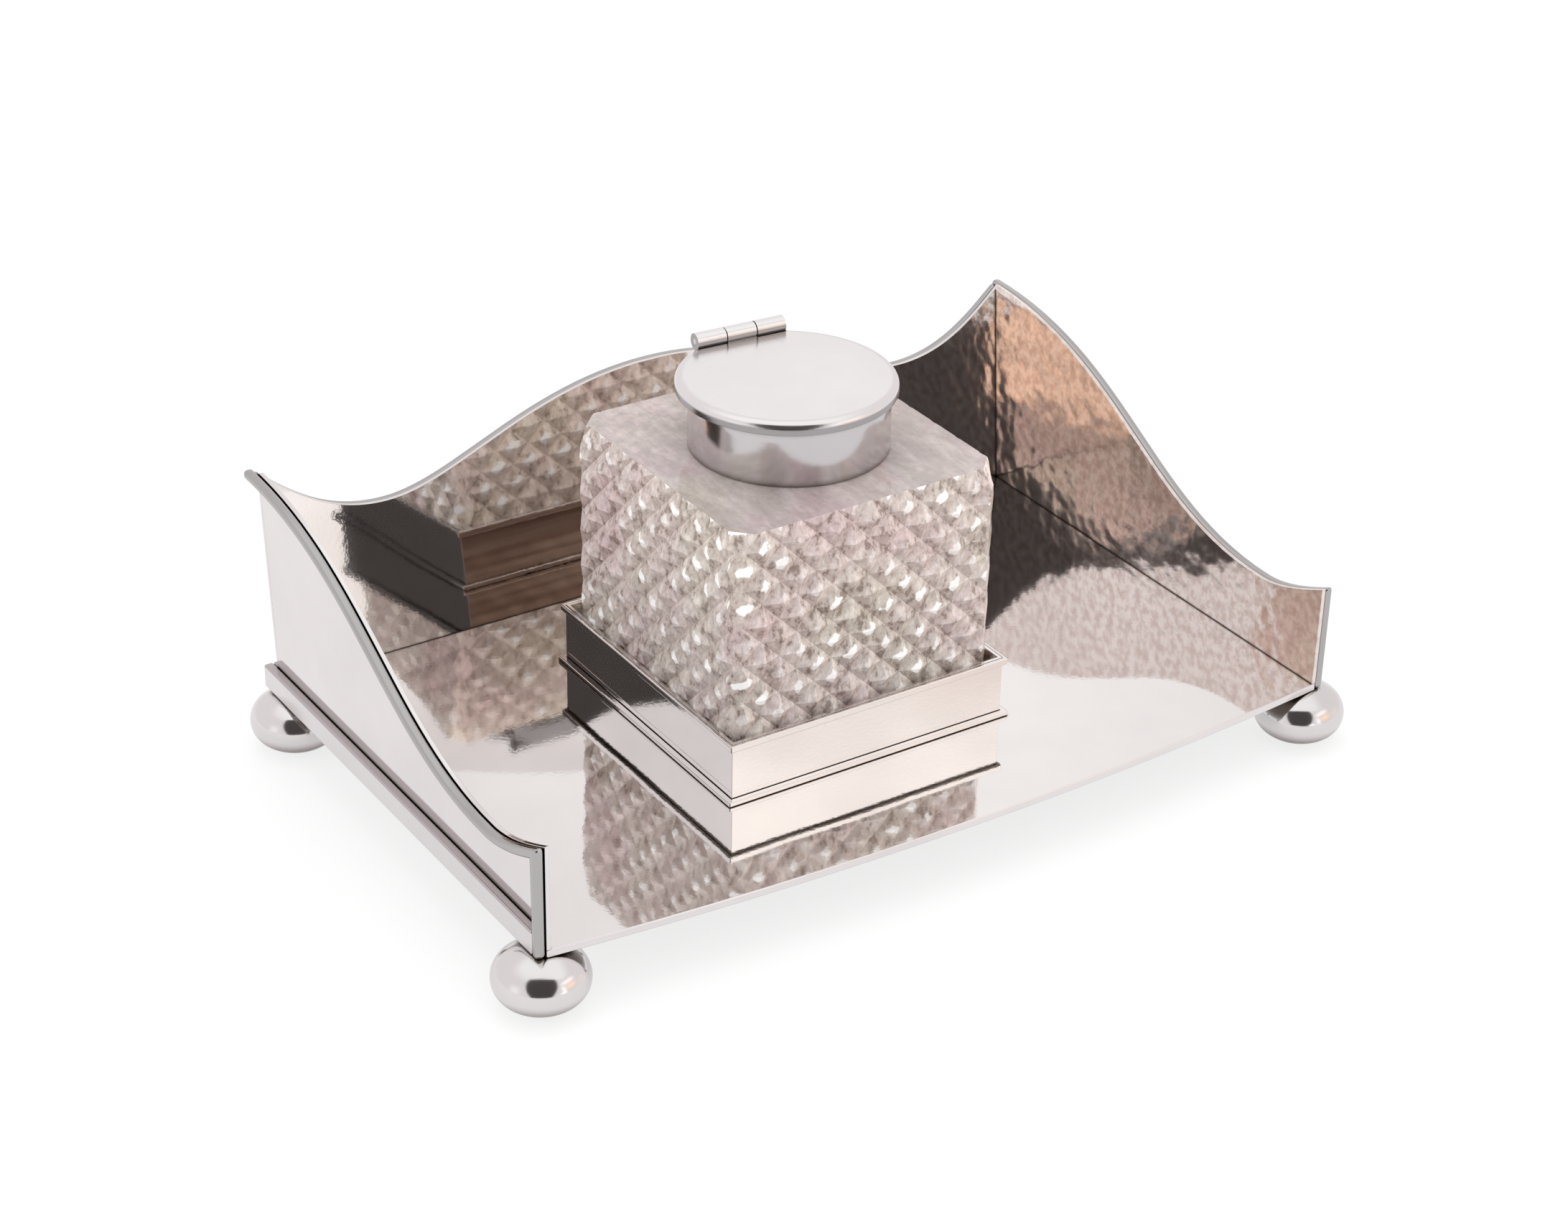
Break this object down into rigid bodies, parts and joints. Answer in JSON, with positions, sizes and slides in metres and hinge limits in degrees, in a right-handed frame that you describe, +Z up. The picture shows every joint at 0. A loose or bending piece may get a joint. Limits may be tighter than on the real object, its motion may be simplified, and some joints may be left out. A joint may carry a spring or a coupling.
{
  "type": "desk inkstand",
  "caption": "Footed silver tray with a curved gallery and bowed front, holding a square cut glass ink bottle with a hinged round lid in a low square holder.",
  "frame": {"origin": "on the desk, below the middle of the outline", "axes": "+X to the right along the front, +Y to the back, +Z up"},
  "size_m": [0.2214, 0.1372, 0.097],
  "materials": {
    "silver": "polished silver",
    "silver_trim": "polished silver",
    "silver_holder": "polished silver",
    "silver_mount": "polished silver",
    "silver_lid": "polished silver with fine scratches",
    "cut_glass": "clear, diamond cut and polished",
    "plaster": "matt"
  },
  "bodies": {
    "tray": {"base_plate": "silver", "left_wall": "silver", "right_wall": "silver", "back_wall": "silver", "left_edge_wire": "silver_trim", "right_edge_wire": "silver_trim", "back_edge_wire": "silver_trim", "left_skirt": "silver_trim", "right_skirt": "silver_trim", "back_skirt": "silver_trim", "foot_front_left": "silver", "foot_front_right": "silver", "foot_back_left": "silver", "foot_back_right": "silver", "holder_frame": "silver_holder", "holder_lip": "silver_holder", "holder_flange": "silver_holder"},
    "bottle": {"glass_bottle": "cut_glass", "neck_plaster": "plaster", "collar": "silver_mount", "hinge_bracket": "silver_mount", "hinge_pin": "silver_mount"},
    "lid": {"lid_plate": "silver_lid", "lid_bezel": "silver_mount", "lid_knuckle": "silver_mount"}
  },
  "joints": [
    {"name": "bottle_lift", "type": "slide", "parent": "tray", "child": "bottle", "axis": [0, 0, 1], "range_m": [0, 0.08]},
    {"name": "lid_hinge", "type": "hinge", "parent": "bottle", "child": "lid", "pos_m": [-0.00336, 0.02217, 0.0951], "axis": [-0.9976, 0.0698, 0], "range_deg": [0, 105]}
  ]
}
